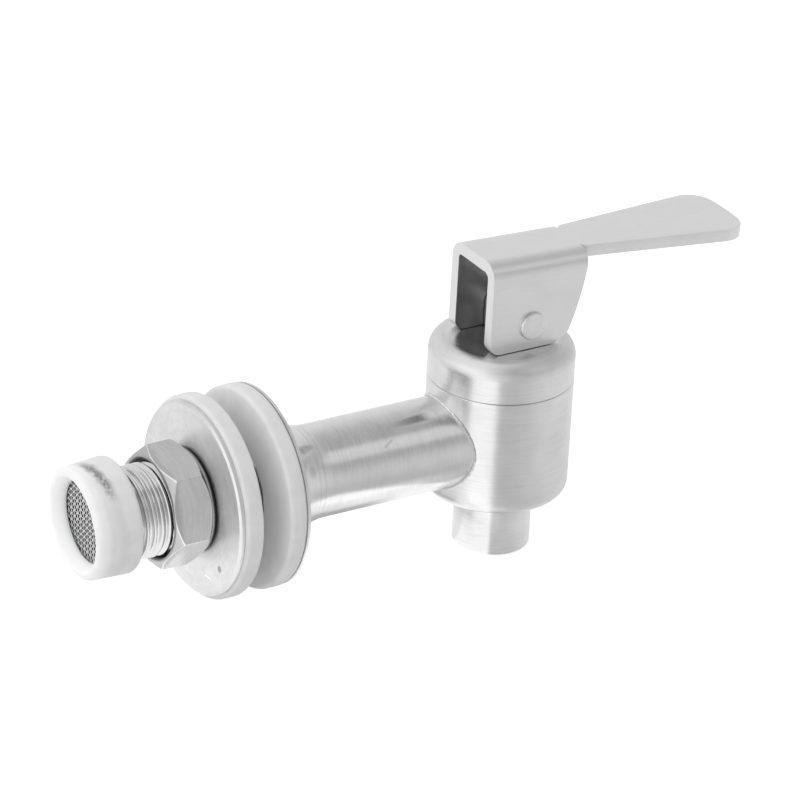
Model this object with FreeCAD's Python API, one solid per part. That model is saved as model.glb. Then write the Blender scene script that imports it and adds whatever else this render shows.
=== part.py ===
import FreeCAD, Part
import math
import os
from FreeCAD import Vector

# Dispenser spigot: a lever tap that is clamped through the wall of a drinks tank.
# Millimetres. The origin is on the shank's axis, at the face of the outer seal that
# meets the tank's wall. +X points out of the tank to the barrel, -X into the tank,
# and +Z is up.

# Shank: the tube that carries the liquid through the tank's wall
shank_r = 8.0
shank_bore_r = 6.3
thread_r = 7.94
thread_end_share = 0.25
inner_length = 27.3
flare_length = 10.8
flare_bend_r = 14.5
thread_gap = 0.06

# Clamp: two soft seals, two steel washers and the lock nut
seal_r = 17.35
seal_thickness = 3.2
seal_edge_r = 0.5
seal_hole_gap = 0.1
wall_space = 5.0
backing_inset = 0.15
backing_thickness = 0.5
steel_washer_r = 16.5
steel_washer_thickness = 1.0
steel_washer_bevel = 0.35
steel_washer_hole_gap = 0.3
nut_across_flats = 18.5
nut_hex_length = 7.2
nut_collar_length = 0.8
nut_collar_r = 8.9
nut_front_face_r = 9.3
nut_chamfer_slope = 0.85
nut_countersink = 0.7
nut_turn_deg = 18.5

# Strainer: a soft cap pushed on the shank's end, and the woven disc it holds
cap_front_r = 9.6
cap_rear_r = 10.05
cap_length = 8.3
cap_front_edge_r = 1.3
cap_rear_edge_r = 1.1
cap_mouth_r = 7.1
cap_mouth_flare = 1.1
cap_mouth_land = 0.5
cap_lip = 2.4
cap_pivot_depth = 5.4
cap_droop_deg = 2.7
cap_yaw_deg = 2.0
cap_offset_y = 0.2
cap_offset_z = 0.27
cap_grip_gap = 0.06
mesh_r = 7.6
mesh_thickness = 0.5
mesh_cell = 1.22
mesh_web = 0.4
mesh_ridge = 0.12
mesh_rim = 0.6
mesh_gap = 0.1
mesh_to_shank = 0.28

# Barrel: the upright body with the spout below and the threaded neck above
barrel_x = 50.5
barrel_r = 12.5
barrel_bottom_z = -10.9
barrel_top_z = 10.5
barrel_edge_r = 2.6
chamber_r = 9.4
chamber_floor_z = -8.7
chamber_corner_r = 0.8
spout_r = 6.65
spout_bore_r = 5.3
spout_bottom_z = -21.0
spout_edge_r = 0.5
seat_rim_r = 6.5
seat_rim_height = 1.2
neck_r = 10.9
neck_top_z = 14.5
joint_gap = 0.05
tube_socket_gap = 0.05
weld_width = 0.6
weld_height = 0.3

# Bonnet: the cap that closes the barrel and guides the stem
bonnet_top_z = 17.6
bonnet_roof = 2.0
bonnet_edge_r = 2.9
bonnet_lip_chamfer = 0.25
stem_gap = 0.05

# Lever: one folded sheet with two cheeks, a web and a paddle
sheet = 2.05
lever_width = 13.3
lever_bend_r = 3.0
lever_rear = 6.75
lever_top_z = 34.3
lever_slope_deg = 2.33
lever_front = 12.0
lever_bottom_corner_r = 2.0
cam_arm = 3.4
cam_gap = 0.1
cam_end_deg = 45.0
cam_steps = 6
front_edge_bulge = 0.45
paddle_overlap = 1.4
paddle_neck_run = 0.9
paddle_neck_half = 4.45
paddle_neck_r = 0.7
paddle_length = 31.6
paddle_wide_half = 8.3
paddle_corner_r = 4.2
paddle_bow = 0.55
paddle_bow_share = 0.7

# Stem, pin, spring and seat cup
pin_x = 1.4
pin_z = 21.9
pin_r = 1.5
pin_head_r = 2.45
pin_head_height = 0.65
pin_head_edge = 0.25
pin_gap = 0.05
stem_r = 2.5
head_half_length = 2.5
head_top_r = 2.5
head_side_gap = 0.15
head_lift_gap = 0.1
button_r = 3.7
button_height = 1.7
cup_base = 1.3
cup_neck = 1.4
cup_undercut_gap = 0.15
cup_neck_gap = 0.2
cup_rim_outer_r = 10.7
cup_wall = 1.0
cup_top_r = 8.9
cup_waist_r = 7.0
cup_face_r = 6.6
cup_edge_r = 0.8
spring_washer_thickness = 0.8
spring_washer_gap = 0.3
spring_wire_r = 0.4
spring_mean_r = 4.2
spring_wire_sides = 4
spring_turns = 5.0
spring_end_gap = 0.02

# Straight runs that stand for a turned edge's round, the radius up to which one is
# enough, and the runs along the shank's flare
edge_flats = 3
small_edge_r = 1.0
flare_flats = 5

# Reach of a cutting shape past the faces that it trims, and the distance of equal points
spare = 1.0
same_point = 1e-6

X_AXIS = Vector(1, 0, 0)
Y_AXIS = Vector(0, 1, 0)
Z_AXIS = Vector(0, 0, 1)
ORIGIN = Vector(0, 0, 0)


def corner_arms(before, corner, after, radius):
    """Centre of the arc that rounds a corner, its arms to the arc's two ends, and its sweep."""
    first = (before - corner).normalize()
    second = (after - corner).normalize()
    half_turn = first.getAngle(second) / 2
    reach = radius / math.tan(half_turn)
    centre = corner + (first + second).normalize() * (radius / math.sin(half_turn))
    return centre, corner + first * reach - centre, corner + second * reach - centre, math.pi - 2 * half_turn


def along_arc(centre, start_arm, end_arm, sweep, share):
    """Point at a share of the way round an arc, mixed from its two end arms."""
    start_weight = math.sin((1 - share) * sweep) / math.sin(sweep)
    end_weight = math.sin(share * sweep) / math.sin(sweep)
    return centre + start_arm * start_weight + end_arm * end_weight


def rounded_face(corners):
    """A flat face from (point, radius) corners; a radius of 0 leaves the corner sharp."""
    count = len(corners)
    edges = []
    ends = []
    for i in range(count):
        point, radius = corners[i]
        if radius > 0:
            arc = corner_arms(corners[i - 1][0], point, corners[(i + 1) % count][0], radius)
            start, middle, end = [along_arc(*arc, share) for share in (0, 0.5, 1)]
            ends.append((start, end, Part.Arc(start, middle, end).toShape()))
        else:
            ends.append((point, point, None))
    for i in range(count):
        start, end, arc = ends[i]
        if arc:
            edges.append(arc)
        following = ends[(i + 1) % count][0]
        if (following - end).Length > same_point:
            edges.append(Part.makeLine(end, following))
    return Part.Face(Part.Wire(edges))


def turned_face(corners):
    """A flat face to be turned: each rounded corner becomes a few straight runs."""
    count = len(corners)
    points = []
    for i in range(count):
        point, radius = corners[i]
        if radius > 0:
            arc = corner_arms(corners[i - 1][0], point, corners[(i + 1) % count][0], radius)
            flats = edge_flats if radius > small_edge_r else 1
            points += [along_arc(*arc, k / flats) for k in range(flats + 1)]
        else:
            points.append(point)
    return Part.Face(Part.makePolygon(points + points[:1]))


def turned_x(profile):
    """A solid turned about the shank's axis from (x, r, corner radius) points."""
    corners = [(Vector(x, 0, r), radius) for x, r, radius in profile]
    return turned_face(corners).revolve(ORIGIN, X_AXIS, 360)


def turned_z(profile):
    """A solid turned about the barrel's axis from (r, z, corner radius) points."""
    corners = [(Vector(barrel_x + r, 0, z), radius) for r, z, radius in profile]
    return turned_face(corners).revolve(Vector(barrel_x, 0, 0), Z_AXIS, 360)


def rod_x(radius, start, end):
    return Part.makeCylinder(radius, end - start, Vector(start, 0, 0), X_AXIS)


def rod_z(radius, bottom, top):
    return Part.makeCylinder(radius, top - bottom, Vector(barrel_x, 0, bottom), Z_AXIS)


def ring_x(start, end, hole_r, outer_r, edge_r):
    return turned_x([
        (start, hole_r, 0),
        (start, outer_r, edge_r),
        (end, outer_r, edge_r),
        (end, hole_r, 0),
    ])


# Places along the shank's axis
outer_seal_end = seal_thickness
flange_face = outer_seal_end + backing_thickness
flare_end = flange_face + flare_length
inner_seal_end = -wall_space
inner_seal_start = inner_seal_end - seal_thickness
steel_washer_start = inner_seal_start - steel_washer_thickness
nut_rear = steel_washer_start
nut_hex_rear = nut_rear - nut_collar_length
nut_front = nut_hex_rear - nut_hex_length
shank_end = -inner_length
seal_hole_r = thread_r + seal_hole_gap

# Middle of the barrel's wall, where the tube ends in its socket
wall_middle_r = (barrel_r + chamber_r) / 2

# Heights along the barrel's axis
seat_z = chamber_floor_z + seat_rim_height
ceiling_z = bonnet_top_z - bonnet_roof
button_bottom_z = seat_z + cup_base
button_top_z = button_bottom_z + button_height
cup_floor_z = button_top_z + cup_neck
lever_bottom_z = bonnet_top_z + cam_gap


def make_shank():
    """Tube from the strainer to the barrel, with the flare that backs the clamp."""
    thread_edge = (thread_r - shank_bore_r) * thread_end_share
    barrel_side = barrel_x - chamber_r
    profile = [
        (shank_end, shank_bore_r, 0),
        (shank_end, thread_r - thread_edge, 0),
        (shank_end + thread_edge, thread_r, 0),
        (flange_face, thread_r, 0),
    ]
    flare_sweep = math.asin(flare_length / flare_bend_r)
    for k in range(flare_flats + 1):
        angle = flare_sweep * (1 - k / flare_flats)
        flare_x = flare_end - flare_bend_r * math.sin(angle)
        profile.append((flare_x, shank_r + flare_bend_r * (1 - math.cos(angle)), 0))
    profile += [(barrel_side, shank_r, 0), (barrel_side, shank_bore_r, 0)]
    return turned_x(profile).cut(rod_z(wall_middle_r, -2 * shank_r, 2 * shank_r))


def make_outer_seal():
    return ring_x(0, outer_seal_end, seal_hole_r, seal_r, seal_edge_r)


def make_backing_washer():
    return ring_x(outer_seal_end, flange_face, seal_hole_r, seal_r - backing_inset, 0)


def make_inner_seal():
    return ring_x(inner_seal_start, inner_seal_end, seal_hole_r, seal_r, seal_edge_r)


def make_steel_washer():
    hole_r = thread_r + steel_washer_hole_gap
    return turned_x([
        (steel_washer_start, hole_r, 0),
        (steel_washer_start, steel_washer_r - steel_washer_bevel, 0),
        (steel_washer_start + steel_washer_bevel, steel_washer_r, 0),
        (inner_seal_start, steel_washer_r, 0),
        (inner_seal_start, hole_r, 0),
    ])


def make_lock_nut():
    """Hexagon nut, chamfered on both faces, with a collar that bears on the washer."""
    corner_r = nut_across_flats / math.sqrt(3)
    corners = []
    for k in range(6):
        angle = math.radians(60 * k - nut_turn_deg)
        corners.append(Vector(nut_front, -corner_r * math.sin(angle), corner_r * math.cos(angle)))
    hexagon = Part.Face(Part.makePolygon(corners + corners[:1]))
    prism = hexagon.extrude(Vector(nut_hex_length + nut_collar_length, 0, 0))
    over_r = corner_r + spare
    front_run = (over_r - nut_front_face_r) * nut_chamfer_slope
    rear_run = (over_r - nut_collar_r) * nut_chamfer_slope
    bore_r = thread_r + thread_gap
    blank = turned_x([
        (nut_front, bore_r + nut_countersink, 0),
        (nut_front, nut_front_face_r, 0),
        (nut_front + front_run, over_r, 0),
        (nut_hex_rear - rear_run, over_r, 0),
        (nut_hex_rear, nut_collar_r, 0),
        (nut_rear, nut_collar_r, 0),
        (nut_rear, bore_r, 0),
        (nut_front + nut_countersink, bore_r, 0),
    ])
    return blank.common(prism)


# The strainer cap sits slightly crooked on the shank, as pushed on by hand
cap_direction = Vector(
    math.cos(math.radians(cap_droop_deg)) * math.cos(math.radians(cap_yaw_deg)),
    -math.sin(math.radians(cap_yaw_deg)),
    math.sin(math.radians(cap_droop_deg)) * math.cos(math.radians(cap_yaw_deg)),
)
mesh_rear_depth = cap_lip + mesh_thickness + mesh_gap
cap_lean = math.sqrt(1 - cap_direction.x ** 2) / cap_direction.x
cap_pivot_x = shank_end - thread_r * cap_lean - mesh_to_shank
cap_pivot_x += (cap_pivot_depth - mesh_rear_depth) * cap_direction.x


def seat_in_cap(shape):
    """Lean a shape built along X from the cap's front face into the cap's place."""
    placed = shape.copy()
    placed.translate(Vector(-cap_pivot_depth, 0, 0))
    lean = FreeCAD.Rotation(X_AXIS, cap_direction)
    pivot = Vector(cap_pivot_x, cap_offset_y, cap_offset_z)
    placed.Placement = FreeCAD.Placement(pivot, lean).multiply(placed.Placement)
    return placed


def make_strainer_cap():
    outside = turned_x([
        (0, 0, 0),
        (0, cap_front_r, cap_front_edge_r),
        (cap_length, cap_rear_r, cap_rear_edge_r),
        (cap_length, 0, 0),
    ])
    mouth = turned_x([
        (-spare, 0, 0),
        (-spare, cap_mouth_r + cap_mouth_flare, 0),
        (0, cap_mouth_r + cap_mouth_flare, 0),
        (cap_lip - cap_mouth_land, cap_mouth_r, 0),
        (cap_lip + mesh_gap, cap_mouth_r, 0),
        (cap_lip + mesh_gap, 0, 0),
    ])
    pocket_end = mesh_rear_depth + 2 * thread_r * cap_lean + mesh_to_shank
    pocket = rod_x(mesh_r + mesh_gap, cap_lip, pocket_end)
    shell = seat_in_cap(outside.cut(mouth).cut(pocket))
    grip_start = shank_end - mesh_to_shank / 2
    return shell.cut(rod_x(thread_r + cap_grip_gap, grip_start, cap_length))


def make_strainer_mesh():
    """Woven disc, drawn as one wall with square gaps and a raised ridge along each web."""
    middle = cap_lip + mesh_gap / 2 + mesh_thickness / 2
    half = mesh_thickness / 2
    disc = rod_x(mesh_r, middle - half, middle + half)
    lattice_r = mesh_r - mesh_rim
    reach = int(lattice_r / mesh_cell) + 1
    gap = mesh_cell - mesh_web
    gaps = []
    relief = []
    for i in range(-reach, reach + 1):
        span = lattice_r ** 2 - (i * mesh_cell) ** 2
        if span > 0:
            half_span = math.sqrt(span)
            corner = Vector(middle - half - spare, i * mesh_cell - gap / 2, -half_span)
            relief.append(Part.makeBox(spare + mesh_ridge, gap, 2 * half_span, corner))
        for j in range(-reach, reach + 1):
            far_y = abs(i * mesh_cell) + gap / 2
            far_z = abs(j * mesh_cell) + gap / 2
            if math.hypot(far_y, far_z) < lattice_r:
                corner = Vector(middle - spare, i * mesh_cell - gap / 2, j * mesh_cell - gap / 2)
                gaps.append(Part.makeBox(2 * spare, gap, gap, corner))
    return seat_in_cap(disc.cut(relief).cut(gaps))


def make_valve_body():
    """Turned barrel with chamber, raised seat, spout, threaded neck and the weld at the tube."""
    blank = turned_z([
        (spout_bore_r, spout_bottom_z, 0),
        (spout_r, spout_bottom_z, spout_edge_r),
        (spout_r, barrel_bottom_z, 0),
        (barrel_r, barrel_bottom_z, barrel_edge_r),
        (barrel_r, barrel_top_z, 0),
        (neck_r, barrel_top_z, 0),
        (neck_r, neck_top_z, 0),
        (chamber_r, neck_top_z, 0),
        (chamber_r, chamber_floor_z, chamber_corner_r),
        (seat_rim_r, chamber_floor_z, 0),
        (seat_rim_r, seat_z, 0),
        (spout_bore_r, seat_z, 0),
    ])
    weld = rod_z(barrel_r + weld_height, -2 * shank_r, 2 * shank_r)
    weld = weld.common(rod_x(shank_r + weld_width, barrel_x - barrel_r - weld_height, barrel_x))
    weld = weld.cut(rod_z(wall_middle_r, -2 * shank_r, 2 * shank_r))
    socket = rod_x(shank_r + tube_socket_gap, barrel_x - barrel_r - spare, barrel_x)
    return blank.fuse(weld).cut(socket).removeSplitter()


def make_bonnet():
    inner_r = neck_r + joint_gap
    stem_hole_r = stem_r + stem_gap
    return turned_z([
        (stem_hole_r, bonnet_top_z, 0),
        (barrel_r, bonnet_top_z, bonnet_edge_r),
        (barrel_r, barrel_top_z + bonnet_lip_chamfer, 0),
        (barrel_r - bonnet_lip_chamfer, barrel_top_z, 0),
        (inner_r, barrel_top_z, 0),
        (inner_r, ceiling_z, 0),
        (stem_hole_r, ceiling_z, 0),
    ])


def make_seat_cup():
    """Soft bell: its rim is clamped under the bonnet and its base closes the seat."""
    button_cavity_r = button_r + cup_undercut_gap
    neck_hole_r = stem_r + cup_neck_gap
    inner_top_r = cup_top_r - cup_wall
    return turned_z([
        (0, seat_z, 0),
        (cup_face_r, seat_z, cup_edge_r),
        (cup_waist_r, cup_floor_z, 0),
        (cup_top_r, neck_top_z, 0),
        (cup_rim_outer_r, neck_top_z, 0),
        (cup_rim_outer_r, ceiling_z, 0),
        (inner_top_r, ceiling_z, 0),
        (cup_waist_r - cup_wall, cup_floor_z, 0),
        (neck_hole_r, cup_floor_z, 0),
        (neck_hole_r, button_top_z + cup_undercut_gap, 0),
        (button_cavity_r, button_top_z + cup_undercut_gap, 0),
        (button_cavity_r, button_bottom_z - cup_undercut_gap, 0),
        (0, button_bottom_z - cup_undercut_gap, 0),
    ])


def make_spring_washer():
    hole_r = stem_r + spring_washer_gap
    rim_r = cup_waist_r - cup_wall - spring_washer_gap
    top = cup_floor_z + spring_washer_thickness
    return rod_z(rim_r, cup_floor_z, top).cut(rod_z(hole_r, cup_floor_z - spare, top + spare))


def make_return_spring():
    """Coil of wire, drawn with flats round its section."""
    bottom = cup_floor_z + spring_washer_thickness + spring_end_gap
    height = ceiling_z - spring_end_gap - bottom
    rise = height - 2 * spring_wire_r
    coil = Part.makeHelix(rise / spring_turns, rise, spring_mean_r)
    coil.translate(Vector(barrel_x, 0, bottom + spring_wire_r))
    corners = []
    for k in range(spring_wire_sides):
        angle = 2 * math.pi * (k + 0.5) / spring_wire_sides
        across = barrel_x + spring_mean_r + spring_wire_r * math.cos(angle)
        corners.append(Vector(across, 0, bottom + spring_wire_r * (1 + math.sin(angle))))
    section = Part.makePolygon(corners + corners[:1])
    return Part.Wire(coil.Edges).makePipeShell([section], True, True)


def make_stem():
    """Round stem with a flat eye on top for the pin and a button below for the cup."""
    gap_half = lever_width / 2 - sheet
    head_half_width = gap_half - head_side_gap
    head_bottom = bonnet_top_z + head_lift_gap
    pin_place = Vector(barrel_x + pin_x, -head_half_width, pin_z)
    block = Part.makeBox(
        2 * head_half_length,
        2 * head_half_width,
        pin_z - head_bottom,
        Vector(barrel_x + pin_x - head_half_length, -head_half_width, head_bottom),
    )
    top = Part.makeCylinder(head_top_r, 2 * head_half_width, pin_place, Y_AXIS)
    shaft = rod_z(stem_r, button_bottom_z, head_bottom + stem_r)
    button = rod_z(button_r, button_bottom_z, button_top_z)
    eye = Part.makeCylinder(pin_r + pin_gap, 4 * head_half_width, pin_place - Y_AXIS * head_half_width, Y_AXIS)
    return block.fuse([top, shaft, button]).removeSplitter().cut(eye)


def make_pivot_pin():
    """Rivet through both cheeks and the stem's eye, with a low flat head on each side."""
    half = lever_width / 2
    place = Vector(barrel_x + pin_x, -half, pin_z)
    shank = Part.makeCylinder(pin_r, lever_width, place, Y_AXIS)
    disc_height = pin_head_height - pin_head_edge
    face_r = pin_head_r - pin_head_edge
    pieces = []
    for side in (-1, 1):
        base = Vector(barrel_x + pin_x, side * half, pin_z)
        rim = Vector(barrel_x + pin_x, side * (half + disc_height), pin_z)
        pieces.append(Part.makeCylinder(pin_head_r, disc_height, base, Y_AXIS * side))
        pieces.append(Part.makeCone(pin_head_r, face_r, pin_head_edge, rim, Y_AXIS * side))
    return shank.fuse(pieces).removeSplitter()


def cam_point(turn):
    """Point of the cheek that bears on the bonnet after the lever has turned by an angle.

    The bearing point stays one cam arm ahead of the pin, so the stem rises by the
    cam arm times the angle.
    """
    drop = pin_z - lever_bottom_z + cam_arm * turn
    ahead = cam_arm * math.cos(turn) + drop * math.sin(turn)
    below = cam_arm * math.sin(turn) - drop * math.cos(turn)
    return Vector(barrel_x + pin_x + ahead, 0, pin_z + below)


def make_cheek_outline():
    """Side view of the cheeks: straight back, flat foot, cam, and a bowed front edge."""
    over_top = lever_top_z + sheet
    rear = barrel_x - lever_rear
    front = barrel_x + lever_front
    r = lever_bottom_corner_r
    cam_end = math.radians(cam_end_deg)
    cam = Part.BSplineCurve()
    cam.interpolate([cam_point(cam_end * k / cam_steps) for k in range(cam_steps + 1)])
    foot_start = Vector(rear + r, 0, lever_bottom_z)
    corner_middle = Vector(rear + r - r * math.sqrt(0.5), 0, lever_bottom_z + r - r * math.sqrt(0.5))
    back_start = Vector(rear, 0, lever_bottom_z + r)
    back_top = Vector(rear, 0, over_top)
    front_top = Vector(front, 0, over_top)
    front_low = Vector(front, 0, lever_top_z - sheet)
    nose = cam_point(cam_end)
    chord = front_low - nose
    outward = Vector(chord.z, 0, -chord.x).normalize()
    bow = nose + chord * 0.5 + outward * front_edge_bulge
    edges = [
        Part.makeLine(cam_point(0), foot_start),
        Part.Arc(foot_start, corner_middle, back_start).toShape(),
        Part.makeLine(back_start, back_top),
        Part.makeLine(back_top, front_top),
        Part.makeLine(front_top, front_low),
        Part.Arc(front_low, bow, nose).toShape(),
        cam.toShape(),
    ]
    return Part.Face(Part.Wire(Part.sortEdges(edges)[0]))


def folded_channel(along_start, along_end, top, depth, half_width, bend_r):
    """Closed U section with rounded outer folds, run along X below a flat top."""
    section = rounded_face([
        (Vector(along_start, -half_width, top - depth), 0),
        (Vector(along_start, -half_width, top), bend_r),
        (Vector(along_start, half_width, top), bend_r),
        (Vector(along_start, half_width, top - depth), 0),
    ])
    return section.extrude(Vector(along_end - along_start, 0, 0))


def lean_lever(shape):
    """Slope the web down to the front about the top of the lever's back edge."""
    placed = shape.copy()
    placed.rotate(Vector(barrel_x - lever_rear, 0, lever_top_z), Y_AXIS, lever_slope_deg)
    return placed


def make_paddle():
    """Flat thumb plate: a narrow neck that widens evenly to a softly bowed tip."""
    front = barrel_x + lever_front
    neck = front + paddle_neck_run
    corner = front + paddle_length
    web_half = lever_width / 2 - lever_bend_r
    bow_reach = (paddle_wide_half - paddle_corner_r) * paddle_bow_share
    bow_r = bow_reach * paddle_wide_half / paddle_bow
    side = [
        (front - paddle_overlap, web_half, 0),
        (neck - (paddle_neck_half - web_half), web_half, 0),
        (neck, paddle_neck_half, paddle_neck_r),
        (corner, paddle_wide_half, paddle_corner_r),
    ]
    outline = [(Vector(x, -y, lever_top_z), radius) for x, y, radius in side]
    outline.append((Vector(corner + paddle_bow, 0, lever_top_z), bow_r))
    outline += [(Vector(x, y, lever_top_z), radius) for x, y, radius in reversed(side)]
    return rounded_face(outline).extrude(Vector(0, 0, -sheet))


def make_lever():
    half = lever_width / 2
    depth = lever_top_z - bonnet_top_z + 2 * sheet
    back = barrel_x - lever_rear - sheet
    front = barrel_x + lever_front + sheet
    outer = folded_channel(back, front, lever_top_z, depth, half, lever_bend_r)
    inner_bend_r = lever_bend_r - sheet
    inner = folded_channel(back - spare, front + spare, lever_top_z - sheet, depth, half - sheet, inner_bend_r)
    cheeks = make_cheek_outline().extrude(Vector(0, lever_width, 0))
    cheeks.translate(Vector(0, -half, 0))
    channel = lean_lever(outer.cut(inner)).common(cheeks)
    hole = Part.makeCylinder(pin_r + pin_gap, 2 * lever_width, Vector(barrel_x + pin_x, -lever_width, pin_z), Y_AXIS)
    return channel.fuse(lean_lever(make_paddle())).removeSplitter().cut(hole)


os.makedirs("parts", exist_ok=True)
nodes = {
    "inlet_shank": make_shank(),
    "outer_seal": make_outer_seal(),
    "backing_washer": make_backing_washer(),
    "inner_seal": make_inner_seal(),
    "steel_washer": make_steel_washer(),
    "lock_nut": make_lock_nut(),
    "strainer_cap": make_strainer_cap(),
    "strainer_mesh": make_strainer_mesh(),
    "valve_body": make_valve_body(),
    "bonnet": make_bonnet(),
    "seat_cup": make_seat_cup(),
    "spring_washer": make_spring_washer(),
    "return_spring": make_return_spring(),
    "stem": make_stem(),
    "pivot_pin": make_pivot_pin(),
    "lever": make_lever(),
}
for name, shape in nodes.items():
    box = shape.BoundBox
    print(name, len(shape.Solids), "solid,", round(shape.Volume, 1), "mm3, valid", shape.isValid(),
          "x", round(box.XMin, 2), round(box.XMax, 2), "y", round(box.YMin, 2), round(box.YMax, 2),
          "z", round(box.ZMin, 2), round(box.ZMax, 2))
    shape.exportStep("parts/" + name + ".step")
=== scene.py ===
# %% [markdown]
# A lever tap for a drinks dispenser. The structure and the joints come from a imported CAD
# model, which loads as fixed nodes. This lesson dresses that frame: each visible piece is
# worked out as a surface with numpy, given a finish made of nodes, and hung on the body
# that carries it, so that it moves when the joints do.
# %% Load the frame
import math
import bmesh
import bpy
import numpy as np
from mathutils import Matrix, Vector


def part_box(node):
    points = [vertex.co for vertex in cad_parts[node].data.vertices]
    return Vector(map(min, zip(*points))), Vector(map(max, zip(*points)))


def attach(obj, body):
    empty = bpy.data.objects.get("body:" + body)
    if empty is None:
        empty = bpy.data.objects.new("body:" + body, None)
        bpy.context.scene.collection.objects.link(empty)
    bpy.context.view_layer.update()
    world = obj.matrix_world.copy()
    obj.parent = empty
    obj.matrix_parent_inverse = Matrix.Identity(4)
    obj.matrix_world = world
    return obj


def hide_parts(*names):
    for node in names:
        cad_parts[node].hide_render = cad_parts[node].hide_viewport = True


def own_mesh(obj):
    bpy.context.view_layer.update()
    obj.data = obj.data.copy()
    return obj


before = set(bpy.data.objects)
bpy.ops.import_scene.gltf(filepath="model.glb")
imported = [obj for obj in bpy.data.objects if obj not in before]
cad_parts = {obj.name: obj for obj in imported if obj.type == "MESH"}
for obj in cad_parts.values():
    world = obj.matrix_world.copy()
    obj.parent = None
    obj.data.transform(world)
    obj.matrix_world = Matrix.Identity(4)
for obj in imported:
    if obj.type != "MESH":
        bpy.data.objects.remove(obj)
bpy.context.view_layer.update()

# %% [markdown]
# Blender works in metres, but a tap is easier to think about in millimetres. All shapes
# below are worked out in millimetres and scaled once, when they become a mesh. Where the
# frame already holds a size, it is read from a node's box instead of typed again.
# %% Sizes that the frame gives
MM = 0.001


def span(node, axis):
    """Lowest and highest place of a node along one axis (0, 1 or 2), in millimetres."""
    low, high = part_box(node)
    return low[axis] / MM, high[axis] / MM


shank_start, shank_stop = span("inlet_shank", 0)
outer_seal_x = span("outer_seal", 0)
inner_seal_x = span("inner_seal", 0)
washer_x = span("steel_washer", 0)
nut_x = span("lock_nut", 0)
seal_r = span("outer_seal", 1)[1]
washer_r = span("steel_washer", 1)[1]
bonnet_z = span("bonnet", 2)
barrel_z = span("valve_body", 2)
barrel_x = sum(span("bonnet", 0)) / 2
barrel_r = span("bonnet", 1)[1]
web_top = span("lever", 2)[1]
lever_back = span("lever", 0)[0]
tube_line = (0, 0, 0), (1, 0, 0)
barrel_line = (barrel_x, 0, 0), (0, 0, 1)
print("barrel axis at x", round(barrel_x, 2), "radius", round(barrel_r, 2), "web top", round(web_top, 2))

# %% [markdown]
# A surface on a grid is a table of points: one row for each step along the piece, one
# column for each step around it. Neighbours in the table make the faces, so no loop over
# points is needed. If the faces of a closed piece point inwards, its volume comes out
# negative, and turning every face round mends that.
# %% Grids become meshes
def grid_faces(rows, columns, wrap_rows=False, wrap_columns=False):
    """Four-sided faces between neighbours of a rows by columns table of points."""
    row, column = np.meshgrid(
        np.arange(rows if wrap_rows else rows - 1),
        np.arange(columns if wrap_columns else columns - 1),
        indexing="ij",
    )
    next_row, next_column = (row + 1) % rows, (column + 1) % columns
    corners = [
        row * columns + column,
        row * columns + next_column,
        next_row * columns + next_column,
        next_row * columns + column,
    ]
    return np.stack(corners, -1).reshape(-1, 4)


def enclosed_volume(points, faces):
    """Sum over the faces of the tetrahedra that they make with the origin."""
    a, b, c, d = (points[faces[:, k]] for k in range(4))
    return (np.cross(a, b) * c).sum() / 6 + (np.cross(a, c) * d).sum() / 6


def add_object(name, data):
    """A new object in the scene, round a mesh, a lamp or a camera."""
    made = bpy.data.objects.new(name, data)
    bpy.context.scene.collection.objects.link(made)
    return made


def smoothed(mesh, sharp_deg):
    """Smooth shading, except where two faces meet at more than an angle."""
    mesh.shade_smooth()
    mesh.set_sharp_from_angle(angle=math.radians(sharp_deg))


def keep_result(piece, sharp_deg):
    """Puts what its modifiers make of a piece in place of its mesh, and takes them off."""
    ready = piece.evaluated_get(bpy.context.evaluated_depsgraph_get())
    mesh = bpy.data.meshes.new_from_object(ready)
    piece.modifiers.clear()
    piece.data = mesh
    smoothed(mesh, sharp_deg)
    print(piece.name, "faces", len(mesh.polygons))


def make_piece(name, points, faces, sharp_deg=35.0, closed=True, ends=()):
    """Object at the origin from points in millimetres, with coinciding points merged."""
    points = np.asarray(points, float).reshape(-1, 3)
    if closed and enclosed_volume(points, faces) < 0:
        faces = faces[:, ::-1]
        ends = [list(end)[::-1] for end in ends]
    mesh = bpy.data.meshes.new(name)
    mesh.from_pydata((points * MM).tolist(), [], faces.tolist() + [list(end) for end in ends])
    work = bmesh.new()
    work.from_mesh(mesh)
    bmesh.ops.remove_doubles(work, verts=work.verts, dist=1e-7)
    work.to_mesh(mesh)
    work.free()
    smoothed(mesh, sharp_deg)
    piece = add_object(name, mesh)
    print(name, "faces", len(mesh.polygons), "size mm", [round(v / MM, 1) for v in piece.dimensions])
    return piece


# %% [markdown]
# Most of the tap was made on a lathe. Such a piece is an outline turned about an axis, and
# no real edge is perfectly sharp, so every corner of the outline gets a small radius that
# can catch the light.
# %% Outlines and turned pieces
def table(*columns):
    """Numbers side by side in the last axis, such as the x, y and z of points."""
    return np.stack(np.broadcast_arrays(*columns), -1)


def unit(vectors):
    """The same directions with length one."""
    return vectors / np.linalg.norm(vectors, axis=-1, keepdims=True)


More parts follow.
